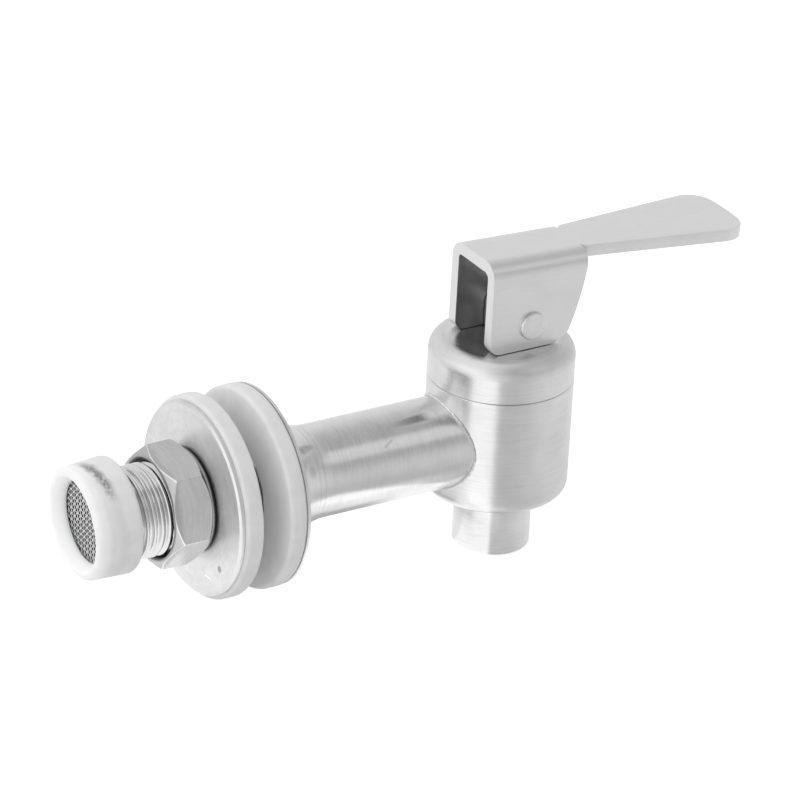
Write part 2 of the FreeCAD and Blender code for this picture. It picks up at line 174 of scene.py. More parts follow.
def rounded_outline(corners, steps=5):
    """Closed outline with rounded corners, from (along, out, radius) rows.

    Each arc mixes its two end arms: the arm at a share s is the first arm times
    sin((1 - s) * sweep) plus the last arm times sin(s * sweep), over sin(sweep).
    """
    rows = np.asarray(corners, float)
    here, radius = rows[:, :2], rows[:, 2:]
    back = unit(np.roll(here, 1, 0) - here)
    ahead = unit(np.roll(here, -1, 0) - here)
    half = np.arccos(np.clip((back * ahead).sum(1, keepdims=True), -1, 1)) / 2
    centre = here + unit(back + ahead) * radius / np.sin(half)
    first = here + back * radius / np.tan(half) - centre
    last = here + ahead * radius / np.tan(half) - centre
    sweep = (np.pi - 2 * half)[:, None]
    share = np.linspace(0, 1, steps + 1)[None, :, None]
    arms = first[:, None] * np.sin((1 - share) * sweep) + last[:, None] * np.sin(share * sweep)
    return (centre[:, None] + arms / np.sin(sweep)).reshape(-1, 2)


def across(axis):
    """Two unit vectors square to an axis and to each other."""
    axis = np.asarray(axis, float)
    hint = np.eye(3)[2 if abs(axis[2]) < 0.9 else 0]
    first = unit(hint - axis * (hint @ axis))
    return first, np.cross(axis, first)


def rings(along, out, origin, axis, turn):
    """Points at origin + along * axis + out * (cos(turn) * u + sin(turn) * v)."""
    u, v = across(axis)
    along, out, turn = (part[..., None] for part in np.broadcast_arrays(along, out, turn))
    swing = np.cos(turn) * u + np.sin(turn) * v
    return np.asarray(origin, float) + along * np.asarray(axis, float) + out * swing


def round_wire(line, first, second, radius, sides):
    """Points round a line: each of its points plus radius * (cos(t) * first + sin(t) * second)."""
    t = full_turn(sides)[:, None]
    swing = np.cos(t) * first[..., None, :] + np.sin(t) * second[..., None, :]
    return line[..., None, :] + radius * swing


def ringed(name, points, sharp_deg=35.0):
    """A piece whose table of points closes in both ways."""
    return make_piece(name, points, grid_faces(*points.shape[:2], True, True), sharp_deg)


def full_turn(count):
    return np.linspace(0, 2 * np.pi, count, endpoint=False)


def turned(name, outline, origin, axis, around, sway=0.0):
    """Outline turned about an axis. A sway makes the radius wander a little, as on soft parts."""
    along, out = outline[:, :1], outline[:, 1:]
    turn = full_turn(around)[None, :]
    wander = 1 + sway * (np.sin(2 * turn + 0.7) + 0.5 * np.sin(5 * turn + along * 0.4))
    return ringed(name, rings(along, out * wander, origin, axis, turn))


# %% [markdown]
# A finish is a tree of shader nodes. Wiring nodes by hand hides the thought behind them, so
# a small class wraps a node's output and lets Python's own sums add the Math nodes: 1 - mask
# reads as it works. Colours are mixed by a Mix node, because a Math node turns them grey.
# %% Sums that add shader nodes
class Signal:
    """An output of a node that can stand in a sum."""

    def __init__(self, finish, output):
        self.finish = finish
        self.output = output

    def __abs__(self):
        return self.finish.math("ABSOLUTE", self)


for sign, operation in (("add", "ADD"), ("sub", "SUBTRACT"), ("mul", "MULTIPLY"), ("truediv", "DIVIDE")):
    setattr(Signal, f"__{sign}__", lambda a, b, kind=operation: a.finish.math(kind, a, b))
    setattr(Signal, f"__r{sign}__", lambda a, b, kind=operation: a.finish.math(kind, b, a))


class Finish:
    """One material, or the world, and the methods that add nodes to it."""

    def __init__(self, name, library="materials"):
        self.material = getattr(bpy.data, library).new(name)
        self.material.use_nodes = True
        self.tree = self.material.node_tree
        self.tree.nodes.clear()

    def node(self, kind, settings=None, values=None, output=0):
        """Any node: its settings first, then the values or links of its sockets."""
        made = self.tree.nodes.new(kind)
        for key, value in (settings or {}).items():
            if key == "stops":
                ramp = made.color_ramp.elements
                while len(ramp) < len(value):
                    ramp.new(0.5)
                for element, (place, grey) in zip(ramp, value):
                    element.position = place
                    element.color = (grey, grey, grey, 1)
            else:
                setattr(made, key, value)
        for key, value in (values or {}).items():
            if isinstance(value, Signal):
                self.tree.links.new(value.output, made.inputs[key])
            else:
                made.inputs[key].default_value = value
        return Signal(self, made.outputs[output]) if made.outputs else None

    def math(self, operation, *values, clamp=False):
        settings = {"operation": operation, "use_clamp": clamp}
        return self.node("ShaderNodeMath", settings, dict(enumerate(values)))

    def split(self, vector):
        """The three parts of a vector."""
        outputs = self.node("ShaderNodeSeparateXYZ", None, {0: vector}).output.node.outputs
        return [Signal(self, outputs[k]) for k in range(3)]

    def place(self):
        """The x, y and z of the object's own coordinates, in millimetres."""
        raw = self.node("ShaderNodeTexCoord", output=3)
        values = {0: raw, "Scale": 1 / MM}
        return self.split(self.node("ShaderNodeVectorMath", {"operation": "SCALE"}, values))

    def vector(self, x, y, z):
        return self.node("ShaderNodeCombineXYZ", None, {0: x, 1: y, 2: z})

    def noise(self, where, scale=1.0, detail=3.0, rough=0.55):
        settings = {"Scale": scale, "Detail": detail, "Roughness": rough, "Vector": where}
        return self.node("ShaderNodeTexNoise", None, settings)

    def ramp(self, value, stops):
        return self.node("ShaderNodeValToRGB", {"stops": stops}, {0: value})

    def mixed(self, factor, first, second):
        """Colour between two colours, which may be links or plain greys."""
        first, second = ((v, v, v, 1) if isinstance(v, float) else v for v in (first, second))
        values = {0: factor, 6: first, 7: second}
        return self.node("ShaderNodeMix", {"data_type": "RGBA"}, values, output=2)

    def bump(self, height, distance_mm):
        values = {"Strength": 1.0, "Distance": distance_mm * MM, "Height": height}
        return self.node("ShaderNodeBump", None, values)

    def close(self, values):
        """Adds the surface shader and the output, and returns the material."""
        shader = self.node("ShaderNodeBsdfPrincipled", None, values)
        self.node("ShaderNodeOutputMaterial", None, {"Surface": shader})
        return self.material


def between(value, low, high):
    """0 below low, 1 above high and a straight slope from one to the other."""
    return value.finish.math("MULTIPLY", value - low, 1 / (high - low), clamp=True)


def window(value, rise, fall):
    """1 between a rising and a falling slope, 0 outside them."""
    return between(value, *rise) * (1 - between(value, *fall))


def most(first, second):
    """The greater of two signals, or of a signal and a number."""
    return first.finish.math("MAXIMUM", first, second)


def length(first, *others):
    """Root of the sum of the squares of some signals."""
    total = first * first
    for other in others:
        total = total + other * other
    return first.finish.math("SQRT", total)


def dot(steps, way):
    """Sum of three signals, each times its own number."""
    return steps[0] * float(way[0]) + steps[1] * float(way[1]) + steps[2] * float(way[2])



# %% [markdown]
# Turned steel carries fine lines that run round the axis it was turned on. A noise that is
# stretched round the axis gives them: its first two inputs are the direction out from the
# axis, which changes slowly, and its third is the height and the radius, which change fast.
# Using the direction, not the angle, leaves no seam where the angle jumps.
# %% Steel finishes
def polar(finish, axis, centre):
    """The place along an axis, the two steps across it from its centre, and their length."""
    x, y, z = finish.place()
    along, first, second = {"x": (x, y, z), "y": (y, x, z), "z": (z, x, y)}[axis]
    first, second = first - centre[0], second - centre[1]
    return along, first, second, length(first, second)


def lines_round(finish, where, fineness, stretch):
    """Noise whose streaks run round an axis; fineness is streaks per millimetre."""
    along, first, second, out = where
    safe = most(out, 0.5)
    first, second = first / safe * stretch, second / safe * stretch
    return finish.noise(finish.vector(first, second, along * fineness + out * (fineness * 0.8)), 1.0, 2.0)


def shades(grey, low, high):
    """Stops of a ramp from a darker grey over the middle one to a lighter one."""
    return [(0.3, grey * low), (0.5, grey), (0.7, min(1.0, grey * high))]


def turned_steel(name, axis, centre, grey, rough, fineness=4.0, hair=0.016, stain=0.0,
                 painted_shade=None, smooth=None, matt=None, marks=None):
    """Steel with lines round its axis, soft clouds of tone and, if asked, water stains.

    Hairs finer than a pixel spread each reflection along the axis, as real brushing does, and
    wider streaks are seen as lines. Three functions of the place (along the axis, distance from
    it) give masks from 0 to 1: painted shade where the colour goes dark, smooth where no brush
    went, matt where it is rougher. marks(finish, y, z, tone) may draw single marks on the tone,
    real ones and painted light.
    """
    finish = Finish(name)
    where = polar(finish, axis, centre)
    along, first, second, out = where
    streaks = lines_round(finish, where, fineness, 2.0)
    hairs = lines_round(finish, where, fineness * 4, 1.2)
    spot = finish.vector(*finish.place())
    clouds = finish.noise(spot, 0.22, 3.0)
    tone = finish.ramp(streaks * 0.5 + clouds * 0.5, shades(grey, 0.9, 1.08))
    if stain > 0:
        spots = finish.ramp(finish.noise(spot, 0.55, 5.0, 0.7), [(0.42, 1.0), (0.56, 0.0), (0.62, 0.5)])
        tone = finish.mixed(spots * stain, tone, grey * 0.72)
    # painted shade: where its mask says so, the tone goes nearly black
    if painted_shade:
        tone = finish.mixed(painted_shade(along, out), tone, 0.02)
    if marks:
        tone = marks(finish, first, second, tone)
    dullness = matt(along, out) * 0.2 if matt else 0.0
    relief = hairs * hair + streaks * (hair * 0.3)
    if smooth:
        relief = relief * (1 - smooth(along, out))
    return finish.close({
        "Base Color": tone,
        "Metallic": 1.0,
        "Roughness": (streaks - 0.5) * 0.1 + (clouds - 0.5) * 0.08 + dullness + rough,
        "Normal": finish.bump(relief, 1.0),
    })


def sheet_steel(name, grey, rough, painted_shade):
    """Satin sheet: streaks along X and faint clouds, and painted shade where the last argument's mask of x, y
    and z says so.
    """
    finish = Finish(name)
    x, y, z = finish.place()
    streaks = finish.noise(finish.vector(x / 6.0, y * 4.5, z * 4.5), 1.0, 2.0)
    clouds = finish.noise(finish.vector(x, y, z), 0.18, 4.0)
    tone = finish.ramp(streaks * 0.5 + clouds * 0.5, shades(grey, 0.94, 1.04))
    return finish.close({
        "Base Color": finish.mixed(painted_shade(x, y, z), tone, grey * 0.78),
        "Metallic": 1.0,
        "Roughness": rough + (streaks - 0.5) * 0.12 + (clouds - 0.5) * 0.1,
        "Normal": finish.bump(streaks * 0.006 + clouds * 0.002, 1.0),
    })


# %% [markdown]
# The soft parts are white silicone. Light goes a little way into it, so its shadows are
# never hard: subsurface scattering does that. A dusty film and small smudges come from
# noise, because a perfectly clean white looks like paper.
# %% Silicone finish
def silicone(name, white, marks=None, glow=None, shade=None):
    """Translucent white rubber. marks(finish, place, clouds) gives the mask of grey marks, from 0 to 1.

    glow(place) is where the rubber glows, as painted light, and
    shade(place) is painted shade, where the colour goes nearly black.
    """
    finish = Finish(name)
    place = finish.place()
    clouds = finish.noise(finish.vector(*place), 0.35, 4.0)
    grain = finish.noise(finish.vector(*place), 3.0, 2.0)
    tone = finish.ramp(clouds, [(0.35, white * 0.95), (0.6, white)])
    if marks:
        tone = finish.mixed(marks(finish, place, clouds), tone, white * 0.3)
    if shade:
        tone = finish.mixed(shade(place), tone, 0.03)
    values = {
        "Base Color": tone,
        "Roughness": 0.5 + (grain - 0.5) * 0.2,
        "Subsurface Weight": 0.35,
        "Subsurface Radius": (0.0025, 0.0025, 0.0025),
        "Subsurface Scale": 1.0,
        "IOR": 1.41,
        "Normal": finish.bump(grain, 0.01),
    }
    # painted light: the rubber glows where glow(place) says so
    if glow:
        values["Emission Color"] = finish.mixed(glow(place), 0.0, 0.19)
        values["Emission Strength"] = 1.0
    return finish.close(values)


def dress(piece, body, slot, material, *nodes):
    """Hangs a piece on its body with its material, and lets it stand for CAD nodes; the slot is not used."""
    piece.data.materials.clear()
    piece.data.materials.append(material)
    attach(piece, body)
    if nodes:
        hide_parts(*nodes)


def finish_node(node, material):
    """Puts a material on a CAD node that keeps its own shape."""
    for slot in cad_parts[node].material_slots:
        slot.material = material
    print(node, "keeps its shape with", material.name)


# %% [markdown]
# The thread was rolled on the tank side of the tube. On a surface of revolution it is one
# more term in the radius: as a point moves round by the angle t and along by x, the place in
# the thread's pitch is x / pitch - t / turn, and a right-handed thread grows along its axis
# as t goes round it by the right hand.
# %% The shank: thread, flare and tube
pitch = 1.411
thread_r, thread_depth, thread_land = 7.94, 0.62, 0.06
lead_in, mouth_chamfer = 0.9, 0.75
bore_r, tube_r = 6.3, 8.0
flange_x, flare_end, flare_bend = 3.7, 14.5, 14.5
seal_face_x = outer_seal_x[1]


def thread_dip(along, turn):
    """Depth below the crest, with flanks that ease in and out by 3 s^2 - 2 s^3."""
    place = np.mod(along / pitch - turn / (2 * np.pi), 1.0)
    share = np.clip((np.abs(2 * place - 1) - thread_land) / (1 - 2 * thread_land), 0, 1)
    flank = share * share * (3 - 2 * share)
    fade = np.clip((along - shank_start) / lead_in, 0, 1) * np.clip((seal_face_x + 0.2 - along) / 0.8, 0, 1)
    return thread_depth * flank * fade


around = 240
turn = full_turn(around)[None, :]
open_thread = (shank_start + 4.6, nut_x[0] + 0.6)
thread_along = np.concatenate([
    np.linspace(shank_start + 0.3, open_thread[0], 30, endpoint=False), np.arange(*open_thread, 0.055),
    np.linspace(open_thread[1], seal_face_x + 0.3, 150)])
flare_angle = np.linspace(math.asin((flare_end - flange_x) / flare_bend), 0, 28)
flare_along = flare_end - flare_bend * np.sin(flare_angle)
flare_out = tube_r + flare_bend * (1 - np.cos(flare_angle))
tube_along = np.linspace(flare_end, barrel_x - barrel_r - 2, 24)[1:]
inside_along = np.array([flare_end, 0.0, shank_start + 0.25, shank_start + 0.05])
outer_along = np.concatenate([
    [shank_start, shank_start + 0.05], thread_along, [flange_x - 0.02, flange_x],
    flare_along[:1] + 0.25, flare_along[1:], tube_along])
outer_out = np.concatenate([
    [bore_r + 0.5, bore_r + 0.75], np.full(len(thread_along), thread_r), [thread_r, flare_out[0] - 0.25],
    flare_out, np.full(len(tube_along), tube_r)])
chamfer = (np.clip((outer_along - shank_start) / lead_in, 0, 1) - 1) * mouth_chamfer
outer_out = outer_out + np.where(outer_along < 0, chamfer, 0) * (outer_out > bore_r + 1)
threaded = (outer_out > thread_r - 0.8) & (outer_along < seal_face_x + 0.3)
shank_out = outer_out[:, None] - thread_dip(outer_along[:, None], turn) * threaded[:, None]
wall_r = barrel_r - 1.5
shank_rows = [(outer_along[:, None], shank_out)]
for r in (tube_r, bore_r):
    shank_rows.append((barrel_x - np.sqrt(wall_r ** 2 - (r * np.sin(turn)) ** 2), r))
shank_rows.append((inside_along[:, None], bore_r))
shank_points = np.concatenate([rings(along, out, *tube_line, turn) for along, out in shank_rows])
tube = ringed("threaded_tube", shank_points)


def tube_marks_and_flare_light(finish, y, z, tone):
    """Two fine lines where the flare was turned, a small dark dent, and on the flare a patch of painted shade
    and a spot of painted highlight.
    """
    x = finish.place()[0]

    def spot(middle, size, other=None):
        """1 near a point, or near the line from it to another one."""
        steps = [axis - place for axis, place in zip((x, y, z), middle)]
        if other:
            way = [end - start for start, end in zip(middle, other)]
            run = between(dot(steps, way) / sum(part * part for part in way), 0.0, 1.0)
            steps = [step - run * part for step, part in zip(steps, way)]
        return 1 - between(length(*steps) / size, 0.4, 1.0)

    lines = 1 - between(abs(abs(x - 11.4) - 0.55), 0.05, 0.2)
    dent = spot((24.3, -6.26, 4.98), 0.3, (25.8, -5.66, 5.66))
    # the patch near x = 9 on the flare is painted shade; the lines and the dent are marks
    dark_marks_and_shade = most(most(lines * 0.15, dent * 0.3), spot((9.0, -6.96, 3.94), 1.6) * 0.6)
    # the spot near x = 8.9 on the flare is a painted highlight
    return finish.mixed(dark_marks_and_shade, finish.mixed(spot((8.9, -5.3, 5.99), 1.0) * 0.7, tone, 0.95), 0.25)


def bore_painted_shade(along, out):
    """Painted shade: the bore is dark, and so is the ring round its mouth, which is a little wider."""
    return 1 - between(out + between(along, -27.0, -26.8) * 0.9, 7.6, 7.8)


tube_steel = turned_steel(
    "tube_steel_turned", "x", (0.0, 0.0), 0.71, 0.2, 4.0, 0.007, painted_shade=bore_painted_shade,
    smooth=lambda along, out: 1 - between(along, 2.5, 3.5), marks=tube_marks_and_flare_light)
dress(tube, "body", "tube_steel", tube_steel, "inlet_shank")

# %% [markdown]
# Where the tube meets the barrel, a thin bead of weld runs round the joint. The joint's line
# is the saddle curve: for a point at the angle t round the tube, y = r sin t and z = r cos t,
# and x is the barrel's surface at that y. A small wavy tube carried along it is the bead.
# %% The weld bead
bead_turns, bead_sides = 220, 12
t = full_turn(bead_turns)
saddle_y, saddle_z = (tube_r + 0.12) * np.sin(t), (tube_r + 0.12) * np.cos(t)
saddle_x = barrel_x - np.sqrt(barrel_r ** 2 - saddle_y ** 2)
line = table(saddle_x, saddle_y, saddle_z)
outward = table(0, np.sin(t), np.cos(t))
normal = table(saddle_x - barrel_x, saddle_y, 0) / barrel_r
bead_r = 0.27 * (1 + 0.12 * np.sin(t * 53) + 0.1 * np.sin(t * 31 + 1.3) + 0.08 * np.sin(t * 7))
bead = round_wire(line, normal, outward, bead_r[:, None, None], bead_sides)
weld = ringed("weld_bead", bead)

# %% [markdown]
# The barrel and its bonnet are two turned pieces with a hairline joint between them. Small
# radii on both sides of the joint make the line that shows in the light.
# %% The barrel and the bonnet
spout_r, spout_bore = 6.65, 5.3
barrel_bottom, joint_z = -10.9, bonnet_z[0]
chamber_r, chamber_floor, seat_z = 9.4, -8.7, -7.5
neck_r, neck_top = 10.9, barrel_z[1]
barrel_outline = rounded_outline([
    (barrel_z[0], spout_bore, 0.25),
    (barrel_z[0], spout_r, 0.35),
    (barrel_bottom, spout_r, 0.15),
    (barrel_bottom, barrel_r, 2.6),
    (joint_z - 0.03, barrel_r, 0.16),
    (joint_z - 0.03, neck_r, 0.1),
    (neck_top, neck_r, 0.2),
    (neck_top, chamber_r, 0.1),
    (chamber_floor, chamber_r, 0.8),
    (chamber_floor, 6.5, 0.2),
    (seat_z, 6.5, 0.2),
    (seat_z, spout_bore, 0.2),
], 8)
barrel = turned("valve_barrel", barrel_outline, *barrel_line, 160)
ceiling = bonnet_z[1] - 2.0
stem_hole = 2.55
bonnet_outline = rounded_outline([
    (bonnet_z[1], stem_hole, 0.15),
    (bonnet_z[1], barrel_r, 2.9),
    (joint_z, barrel_r, 0.2),
    (joint_z, neck_r + 0.05, 0.1),
    (ceiling, neck_r + 0.05, 0.1),
    (ceiling, stem_hole, 0.1),
], 10)
bonnet = turned("bonnet_cap", bonnet_outline, *barrel_line, 160)


def cut(piece, cutter):
    """Takes one closed piece away from another."""
    hole = piece.modifiers.new("hole", "BOOLEAN")
    hole.object, hole.operation, hole.solver = cutter, "DIFFERENCE", "EXACT"
    keep_result(piece, 35.0)
    bpy.data.objects.remove(cutter)


drill_start = barrel_x - barrel_r - 4
drill_outline = np.array([[drill_start, 0.001], [drill_start, bore_r], [barrel_x, bore_r], [barrel_x, 0.001]])
cut(barrel, turned("bore_drill", drill_outline, *tube_line, 96))
barrel_steel = turned_steel(
    "barrel_steel_turned", "z", (barrel_x, 0.0), 0.72, 0.2,
    # painted shade: the top of the bonnet round the stem hole, under the lever, is a little darker
    painted_shade=lambda along, out: (1 - between(out, 5.0, 7.6)) * between(along, 16.0, 17.0) * 0.3,
    matt=lambda along, out: between(along, 14.5, 15.3) * (between(out, 9.3, 10.0) + 0.25))
dress(barrel, "body", "barrel_steel", barrel_steel, "valve_body")
dress(weld, "body", "barrel_steel", barrel_steel)
dress(bonnet, "body", "barrel_steel", barrel_steel, "bonnet")

# %% [markdown]
# The seals are plain silicone washers that squeeze a little as the nut is tightened. The
# radius wanders by a few hundredths, because cut rubber is never quite round.
# %% The two seals
silicone_plain = silicone("silicone_plain", 0.88)


def seal(name, ends):
    """A washer with rounded edges between two places along X."""
    start, stop = ends
    hole, rim, edge = thread_r + 0.1, seal_r - 0.03, 0.7
    outline = rounded_outline([
        (start, hole, 0.15), (start, rim, edge), (stop, rim, edge), (stop, hole, 0.15)], 7)
    return turned(name, outline, *tube_line, 160, 0.0008)


dress(seal("outer_seal_ring", outer_seal_x), "body", "silicone", silicone_plain, "outer_seal")
dress(seal("inner_seal_ring", inner_seal_x), "clamp", "silicone", silicone_plain, "inner_seal")

# %% [markdown]
# The steel washer was punched from sheet: a rolled edge, stains from the wash, and one small
# dent in its face. The face is a fine polar grid, so the dent can be a real dip in it: a bell
# curve of the distance from the dent's middle.
# %% The steel washer
dent_y, dent_z, dent_depth, dent_r = -10.1, -8.3, 0.16, 0.55
washer_around, face_rows = 240, 64
front_out = np.linspace(washer_r - 0.7, thread_r + 0.6, face_rows)
washer_outline = np.vstack([
    rounded_outline([
        (washer_x[0], washer_r - 0.36, 0.12), (washer_x[0] + 0.36, washer_r, 0.15),
        (washer_x[1], washer_r, 0.1), (washer_x[1], thread_r + 0.3, 0.1),
        (washer_x[0], thread_r + 0.3, 0.15)], 4),
    table(washer_x[0], front_out[::-1]),
])
washer_turn = full_turn(washer_around)[None, :]
washer_points = rings(washer_outline[:, :1], washer_outline[:, 1:], *tube_line, washer_turn)
dent_far = (washer_points[..., 1] - dent_y) ** 2 + (washer_points[..., 2] - dent_z) ** 2
on_front = np.abs(washer_points[..., 0] - washer_x[0]) < 0.01
washer_points[..., 0] += np.where(on_front, dent_depth * np.exp(-dent_far / dent_r ** 2), 0)


def washer_marks(finish, y, z, tone):
    """A dark rim round the dent and a short bright scratch beside it."""
    rim = 1 - between(abs(length(y - dent_y, z - dent_z) - 0.3), 0.12, 0.4)
    scratch = (1 - between(abs(z + 11.5), 0.05, 0.16)) * window(y, (-7.7, -7.5), (-5.8, -5.6))
    return finish.mixed(scratch, finish.mixed(rim * 0.7, tone, 0.2), 1.0)


washer = ringed("steel_washer_disc", washer_points)
washer_steel = turned_steel(
    "washer_steel_stained", "x", (0.0, 0.0), 0.76, 0.46, 1.2, 0.004, 0.2, marks=washer_marks)
dress(washer, "clamp", "washer_steel", washer_steel, "steel_washer")
finish_node("backing_washer", washer_steel)

# %% [markdown]
# A hexagon nut is a six-sided bar with its corners turned away. Its radius at an angle t and
# a place x is the least of three things: the flat's distance over the cosine of the angle
# from its middle, and the two cones of the chamfers. A soft minimum keeps a hair of rounding.
# %% The lock nut
nut_flat, nut_turned = 18.5 / 2, math.radians(18.5)
nut_face_r, nut_collar_r, nut_collar, chamfer_slope = 9.3, 8.9, 0.8, 0.85


def soft_least(values, sharp=16.0):
    """Smooth minimum: minus the log of the sum of exp(-k v), over k."""
    stacked = np.stack(np.broadcast_arrays(*values))
    return -np.log(np.exp(-sharp * (stacked - stacked.min(0))).sum(0)) / sharp + stacked.min(0)


def nut_radius(along, turn):
    from_middle = np.mod(turn + nut_turned, np.pi / 3) - np.pi / 6
    bar = nut_flat / np.cos(from_middle)
    front = nut_face_r + (along - nut_x[0]) / chamfer_slope
    rear = nut_collar_r + (nut_x[1] - nut_collar - along) / chamfer_slope
    return soft_least([bar, front, rear])


nut_around = 360
nut_turn = full_turn(nut_around)[None, :]
nut_hex_end = nut_x[1] - nut_collar
nut_along = np.concatenate([
    [nut_x[0]], nut_x[0] + np.linspace(0.04, 2.2, 26), np.linspace(nut_x[0] + 2.4, nut_hex_end - 2.4, 6),
    nut_hex_end - np.linspace(2.2, 0.0, 26)])
nut_outer = nut_radius(nut_along[:, None], nut_turn)
nut_outer[0] -= 0.05
bore, collar_end = thread_r + 0.06, nut_x[1]
collar_rows = np.array([
    [nut_hex_end + 0.02, nut_collar_r], [collar_end - 0.1, nut_collar_r], [collar_end, nut_collar_r - 0.1],
    [collar_end, bore], [nut_x[0] + 0.75, bore], [nut_x[0] + 0.02, bore + 0.7], [nut_x[0], bore + 0.75]])
nut_points = np.concatenate([
    rings(nut_along[:, None], nut_outer, *tube_line, nut_turn),
    rings(collar_rows[:, :1], collar_rows[:, 1:], *tube_line, nut_turn)])
nut = ringed("hexagon_nut", nut_points, 25.0)
nut_middle = nut_points[len(nut_along) // 2]
lowest = nut_middle[np.argmin(nut_middle[:, 1] ** 2 + nut_middle[:, 2] ** 2)]
flat_turn = math.atan2(lowest[2], lowest[1])


def nut_edge_highlights(finish, y, z, tone):
    """A painted highlight: a bright line where each flat meets the front cone."""
    cone = (finish.place()[0] - nut_x[0]) / chamfer_slope + nut_face_r
    turns = [flat_turn + count * math.pi / 3 for count in range(3)]
    flats = [abs(y * math.cos(turn) + z * math.sin(turn)) for turn in turns]
    flat = most(most(flats[0], flats[1]), flats[2])
    line = (1 - between(cone - length(y, z), 0.08, 0.22)) * between(flat, nut_flat - 0.12, nut_flat - 0.04)
    return finish.mixed(line * 0.8, tone, 0.97)


def nut_front(along, out):
    """1 on the turned front face, fading over the first flats."""
    return 1 - between(along, nut_x[0] + 0.7, nut_x[0] + 1.6)


def nut_shade_and_face_tone(along, out):
    """Painted shade round the hole and on the collar, and a little darker on the front face."""
    inside = (1 - between(out, 8.35, 8.9)) * 0.75 + nut_front(along, out) * 0.22
    return most(between(along, nut_hex_end - 0.1, nut_hex_end + 0.4), inside)


nut_steel = turned_steel(
    "nut_steel_machined", "x", (0.0, 0.0), 0.67, 0.25, 2.2, 0.008,
    painted_shade=nut_shade_and_face_tone, matt=nut_front, marks=nut_edge_highlights)
dress(nut, "nut", "nut_steel", nut_steel, "lock_nut")

# %% [markdown]
# The strainer cap is one soft moulding: a lip round the mouth, a side with generous radii
# and a sleeve that grips the shank. It was pushed on by hand and sits a few degrees crooked,
# so its skin is turned about a leaned axis while its bore keeps to the shank's axis.
# %% The strainer cap
droop, yaw = math.radians(2.7), math.radians(2.0)
lean = np.array([math.cos(droop) * math.cos(yaw), -math.sin(yaw), math.sin(droop) * math.cos(yaw)])
cap_depth, cap_lip, cap_mouth, cap_pivot = 8.3, 2.4, 7.1, 5.4
cap_flare, cap_land = 1.1, 0.5
mesh_r, mesh_thick, mesh_play, grip_r = 7.6, 0.5, 0.1, 8.0
mesh_back = cap_lip + mesh_thick + mesh_play
lean_rise = math.sqrt(1 - lean[0] ** 2) / lean[0]
pivot_x = shank_start - thread_r * lean_rise - 0.28 + (cap_pivot - mesh_back) * lean[0]
cap_origin = np.array([pivot_x, 0.2, 0.27]) - cap_pivot * lean
cap_around, skin_steps = 160, 9
cap_turn = full_turn(cap_around)[None, :]


def leaned_rings(rows):
    """Rings about the cap's leaned axis from (depth, radius) rows; its outside sways a little."""
    rows = np.asarray(rows, float)
    sway = 1 + 0.003 * np.sin(2 * cap_turn + 0.4) + 0.0015 * np.sin(3 * cap_turn)
    out = rows[:, 1:] * np.where(rows[:, 1:] > 8.6, sway, 1)
    return rings(rows[:, :1], out, cap_origin, lean, cap_turn)


def grip_ring(x_of):
    """One ring of the straight bore; x_of gives its x from its y and z."""
    swing = leaned_rings([(0.0, 1.0)])[0] - cap_origin
    reach = grip_r / np.hypot(swing[:, 1], swing[:, 2])
    y, z = swing[:, 1] * reach, swing[:, 2] * reach
    return table(x_of(y, z), y, z)[None]


def sleeve_end(y, z):
    """x on the plane of the cap's back, which is square to the leaned axis."""
    sideways = (y - cap_origin[1]) * lean[1] + (z - cap_origin[2]) * lean[2]
    return cap_origin[0] + (cap_depth - 0.12 - sideways) / lean[0]


skin_rows = rounded_outline([
    (0.0, cap_mouth + cap_flare, 0.4), (0.0, 9.6, 1.2), (cap_depth, 10.05, 1.1), (cap_depth, 6.0, 0.3),
    (cap_lip - cap_land, cap_mouth, 0.4)], skin_steps)[:3 * (skin_steps + 1)]
cap_points = np.concatenate([
    leaned_rings(skin_rows),
    grip_ring(sleeve_end),
    grip_ring(lambda y, z: shank_start - 0.14 + 0 * y),
    leaned_rings([(mesh_back, mesh_r + 0.1), (cap_lip, mesh_r + 0.1), (cap_lip, cap_mouth + 0.02),
                  (cap_lip - 0.02, cap_mouth), (cap_lip - cap_land, cap_mouth)]),
])
cap = ringed("strainer_cap_soft", cap_points)
side_up, side_near = across(lean)


def cap_axes(place):
    """Depth behind the cap's front, and the two distances across it: upwards and to the near side."""
    off = [axis - float(middle) for axis, middle in zip(place, cap_origin)]
    return [dot(off, way) for way in (lean, side_up, side_near)]


def cap_marks(finish, place, clouds):
    """A grey band round the side behind the front edge, and handling dirt, much darker, where a thumb has
    rubbed it.
    """
    depth, high, near = cap_axes(place)
    fine = finish.noise(finish.vector(*place), 2.2, 3.0)
    wander = (clouds - 0.5) * 1.6 + (fine - 0.5) * 0.8
    band = 1 - between(abs(depth - near * 0.15 - 3.2 + wander), 0.3, 1.3)
    rubbed = finish.ramp((high * 0.97 + near * 0.24) / 9.8, [(0.84, 0.0), (0.97, 1.0)])
    return band * (rubbed * between(fine, 0.28, 0.5) * 0.82 + 0.1)


def cap_front_painted_glow(place):
    """Painted glow on the front ring, and twice as much in the funnel of the mouth."""
    depth, high, near = cap_axes(place)
    funnel = 1 - between(length(high, near), 7.9, 8.7)
    return (funnel * 0.5 + 0.5) * (1 - between(depth, 1.6, 2.6))


def cap_pocket_painted_shade(place):
    """Painted shade, nearly black, in the pocket that holds the mesh, seen only through the mesh."""
    depth, high, near = cap_axes(place)
    return between(depth, 2.25, 2.45) * (1 - between(length(high, near), 8.1, 8.3))


# The cap's rubber: grey marks, a painted glow on its front and painted shade in the mesh's pocket.
silicone_smudges_and_painted_light = silicone("silicone_smudges_and_painted_light", 0.92, cap_marks, cap_front_painted_glow, cap_pocket_painted_shade)
dress(cap, "body", "silicone", silicone_smudges_and_painted_light, "strainer_cap")

